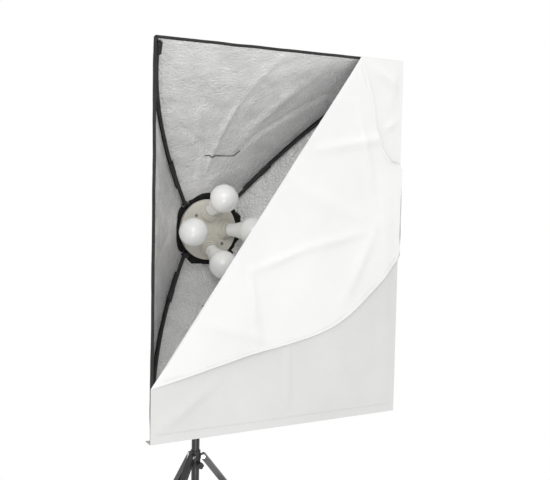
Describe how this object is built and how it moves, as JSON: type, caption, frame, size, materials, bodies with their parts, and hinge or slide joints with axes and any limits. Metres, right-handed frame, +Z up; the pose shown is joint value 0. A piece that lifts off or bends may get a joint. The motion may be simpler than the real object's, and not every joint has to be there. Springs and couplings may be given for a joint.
{
  "type": "studio softbox on light stand",
  "caption": "Rectangular softbox with a lamp head of four bulbs and a folded-back white diffuser, on a folding tripod light stand.",
  "frame": {"origin": "on the floor, under the middle of the whole object's box", "axes": "+Z up along the stand's column, -Y the way the softbox faces, +X to the right seen from the front"},
  "size_m": [0.6936, 0.7892, 1.3484],
  "materials": {
    "black_tube": "black powder coat, satin",
    "black_plastic": "black moulded plastic, fine grain",
    "chrome": "bright plated steel",
    "rubber": "black rubber",
    "housing_black": "black moulded shell",
    "cream_plastic": "cream moulding",
    "white_plastic": "white socket moulding",
    "nickel": "nickel-plated contact",
    "rocker": "black rocker",
    "opal_glass": "opal white glass",
    "rod_steel": "black spring steel rod",
    "silver_cloth": "black cloth with a pebbled silver inside",
    "black_cloth": "black woven cloth and binding",
    "white_cloth": "thin white diffusing cloth"
  },
  "bodies": {
    "column": {"lower_tube": "black_tube", "base_hub": "black_plastic", "brace_bolts": "chrome", "lower_clamp": "black_plastic"},
    "leg_hub": {"leg_hub": "black_plastic", "leg_bolts": "chrome"},
    "leg_hub_knob": {"leg_hub_knob": "black_plastic"},
    "lower_clamp_knob": {"lower_clamp_knob": "black_plastic"},
    "middle_section": {"middle_tube": "black_tube", "upper_clamp": "black_plastic"},
    "upper_clamp_knob": {"upper_clamp_knob": "black_plastic"},
    "top_section": {"top_tube": "black_tube", "spigot": "chrome"},
    "stand_socket": {"stand_socket": "black_plastic", "tilt_bolt": "chrome"},
    "socket_knob": {"socket_knob": "black_plastic"},
    "umbrella_screw": {"umbrella_screw": "black_plastic"},
    "tilt_handle": {"tilt_handle": "black_plastic"},
    "head": {"tilt_bracket": "black_plastic", "housing": "housing_black", "lamp_plate": "cream_plastic", "plate_screws": "chrome", "lamp_sockets": "white_plastic", "socket_contacts": "nickel", "switch_frames": "housing_black", "power_inlet": "housing_black", "terminal_block": "white_plastic", "rod_ring": "rod_steel", "rod_pins": "chrome", "corner_pockets": "black_cloth", "wall_top": "silver_cloth", "wall_bottom": "silver_cloth", "wall_left": "silver_cloth", "wall_right": "silver_cloth", "back_collar": "black_cloth", "front_hem": "black_cloth", "diffuser": "white_cloth"},
    "rocker_left": {"rocker_left": "rocker"},
    "rocker_right": {"rocker_right": "rocker"},
    "leg_front_right": {"leg_front_right": "black_tube", "foot_front_right": "rubber"},
    "brace_front_right": {"brace_front_right": "black_tube"},
    "leg_rear": {"leg_rear": "black_tube", "foot_rear": "rubber"},
    "brace_rear": {"brace_rear": "black_tube"},
    "leg_front_left": {"leg_front_left": "black_tube", "foot_front_left": "rubber"},
    "brace_front_left": {"brace_front_left": "black_tube"},
    "bulb_top": {"bulb_top": "opal_glass", "bulb_cap_top": "nickel"},
    "bulb_right": {"bulb_right": "opal_glass", "bulb_cap_right": "nickel"},
    "bulb_bottom": {"bulb_bottom": "opal_glass", "bulb_cap_bottom": "nickel"},
    "bulb_left": {"bulb_left": "opal_glass", "bulb_cap_left": "nickel"},
    "rod_upper_right": {"rod_upper_right": "rod_steel"},
    "rod_lower_right": {"rod_lower_right": "rod_steel"},
    "rod_lower_left": {"rod_lower_left": "rod_steel"},
    "rod_upper_left": {"rod_upper_left": "rod_steel"}
  },
  "joints": [
    {"name": "hub_slide", "type": "slide", "parent": "column", "child": "leg_hub", "axis": [0, 0, 1], "range_m": [0, 0.19371]},
    {"name": "hub_knob_turn", "type": "hinge", "parent": "leg_hub", "child": "leg_hub_knob", "pos_m": [-0.01532, -0.02433, 0.46157], "axis": [0.0872, -0.9962, 0], "range_deg": [0, 270]},
    {"name": "leg_fold_front_right", "type": "hinge", "parent": "leg_hub", "child": "leg_front_right", "pos_m": [-0.00075, -0.01202, 0.47857], "axis": [0.4226, 0.9063, 0], "range_deg": [0, 36.9]},
    {"name": "brace_fold_front_right", "type": "hinge", "parent": "column", "child": "brace_front_right", "pos_m": [-0.00075, -0.01202, 0.06278], "axis": [-0.4226, -0.9063, 0], "range_deg": [0, 54.64]},
    {"name": "leg_fold_rear", "type": "hinge", "parent": "leg_hub", "child": "leg_rear", "pos_m": [-0.01863, 0.01352, 0.47857], "axis": [-0.9962, -0.0872, 0], "range_deg": [0, 36.9]},
    {"name": "brace_fold_rear", "type": "hinge", "parent": "column", "child": "brace_rear", "pos_m": [-0.01863, 0.01352, 0.06278], "axis": [0.9962, 0.0872, 0], "range_deg": [0, 54.64]},
    {"name": "leg_fold_front_left", "type": "hinge", "parent": "leg_hub", "child": "leg_front_left", "pos_m": [-0.03181, -0.01473, 0.47857], "axis": [0.5736, -0.8192, 0], "range_deg": [0, 36.9]},
    {"name": "brace_fold_front_left", "type": "hinge", "parent": "column", "child": "brace_front_left", "pos_m": [-0.03181, -0.01473, 0.06278], "axis": [-0.5736, 0.8192, 0], "range_deg": [0, 54.64]},
    {"name": "middle_slide", "type": "slide", "parent": "column", "child": "middle_section", "axis": [0, 0, 1], "range_m": [0, 0.54]},
    {"name": "top_slide", "type": "slide", "parent": "middle_section", "child": "top_section", "axis": [0, 0, 1], "range_m": [0, 0.54]},
    {"name": "lower_clamp_turn", "type": "hinge", "parent": "column", "child": "lower_clamp_knob", "pos_m": [-0.00706, 0.01291, 0.76878], "axis": [0.5, 0.866, 0], "range_deg": [0, 270]},
    {"name": "upper_clamp_turn", "type": "hinge", "parent": "middle_section", "child": "upper_clamp_knob", "pos_m": [-0.02706, 0.01291, 0.82078], "axis": [-0.5, 0.866, 0], "range_deg": [0, 270]},
    {"name": "head_swivel", "type": "hinge", "parent": "top_section", "child": "stand_socket", "pos_m": [-0.01706, -0.00441, 0.84227], "axis": [0, 0, 1], "continuous": true},
    {"name": "socket_knob_turn", "type": "hinge", "parent": "stand_socket", "child": "socket_knob", "pos_m": [-0.01706, 0.01559, 0.85627], "axis": [0, 1, 0], "range_deg": [0, 270]},
    {"name": "umbrella_screw_turn", "type": "hinge", "parent": "stand_socket", "child": "umbrella_screw", "pos_m": [-0.03506, -0.00441, 0.87977], "axis": [-1, 0, 0], "range_deg": [0, 270]},
    {"name": "tilt_lever_turn", "type": "hinge", "parent": "stand_socket", "child": "tilt_handle", "pos_m": [0.00294, -0.00441, 0.91056], "axis": [-1, 0, 0], "range_deg": [0, 40]},
    {"name": "head_tilt", "type": "hinge", "parent": "stand_socket", "child": "head", "pos_m": [-0.01706, -0.00441, 0.91056], "axis": [-1, 0, 0], "range_deg": [-30, 90]},
    {"name": "rocker_left_turn", "type": "hinge", "parent": "head", "child": "rocker_left", "pos_m": [-0.03106, 0.02259, 1.01456], "axis": [-1, 0, 0], "range_deg": [0, 9]},
    {"name": "rocker_right_turn", "type": "hinge", "parent": "head", "child": "rocker_right", "pos_m": [-0.00306, 0.02259, 1.01456], "axis": [-1, 0, 0], "range_deg": [0, 9]},
    {"name": "bulb_out_top", "type": "slide", "parent": "head", "child": "bulb_top", "axis": [0, -0.9184, 0.3955], "range_m": [0, 0.03]},
    {"name": "bulb_out_right", "type": "slide", "parent": "head", "child": "bulb_right", "axis": [0.3955, -0.9184, 0], "range_m": [0, 0.03]},
    {"name": "bulb_out_bottom", "type": "slide", "parent": "head", "child": "bulb_bottom", "axis": [0, -0.9184, -0.3955], "range_m": [0, 0.03]},
    {"name": "bulb_out_left", "type": "slide", "parent": "head", "child": "bulb_left", "axis": [-0.3955, -0.9184, 0], "range_m": [0, 0.03]},
    {"name": "rod_fold_upper_right", "type": "hinge", "parent": "head", "child": "rod_upper_right", "pos_m": [0.03694, -0.05161, 1.05256], "axis": [0.8204, 0, -0.5718], "range_deg": [0, 46], "deforming": ["wall_top", "wall_bottom", "wall_left", "wall_right", "back_collar", "front_hem", "corner_pockets", "diffuser"]},
    {"name": "rod_fold_lower_right", "type": "hinge", "parent": "head", "child": "rod_lower_right", "pos_m": [0.03694, -0.05161, 0.94456], "axis": [-0.8204, 0, -0.5718], "range_deg": [0, 47]},
    {"name": "rod_fold_lower_left", "type": "hinge", "parent": "head", "child": "rod_lower_left", "pos_m": [-0.07106, -0.05161, 0.94456], "axis": [-0.8204, 0, 0.5718], "range_deg": [0, 47]},
    {"name": "rod_fold_upper_left", "type": "hinge", "parent": "head", "child": "rod_upper_left", "pos_m": [-0.07106, -0.05161, 1.05256], "axis": [0.8204, 0, 0.5718], "range_deg": [0, 47]}
  ],
  "couplings": [
    {"joint": "leg_fold_front_right", "follows": "hub_slide", "rad_per_m": 3.2886},
    {"joint": "brace_fold_front_right", "follows": "hub_slide", "rad_per_m": 4.8867},
    {"joint": "leg_fold_rear", "follows": "hub_slide", "rad_per_m": 3.2886},
    {"joint": "brace_fold_rear", "follows": "hub_slide", "rad_per_m": 4.8867},
    {"joint": "leg_fold_front_left", "follows": "hub_slide", "rad_per_m": 3.2886},
    {"joint": "brace_fold_front_left", "follows": "hub_slide", "rad_per_m": 4.8867},
    {"joint": "rod_fold_lower_right", "follows": "rod_fold_upper_right", "ratio": 1},
    {"joint": "rod_fold_lower_left", "follows": "rod_fold_upper_right", "ratio": 1},
    {"joint": "rod_fold_upper_left", "follows": "rod_fold_upper_right", "ratio": 1}
  ]
}
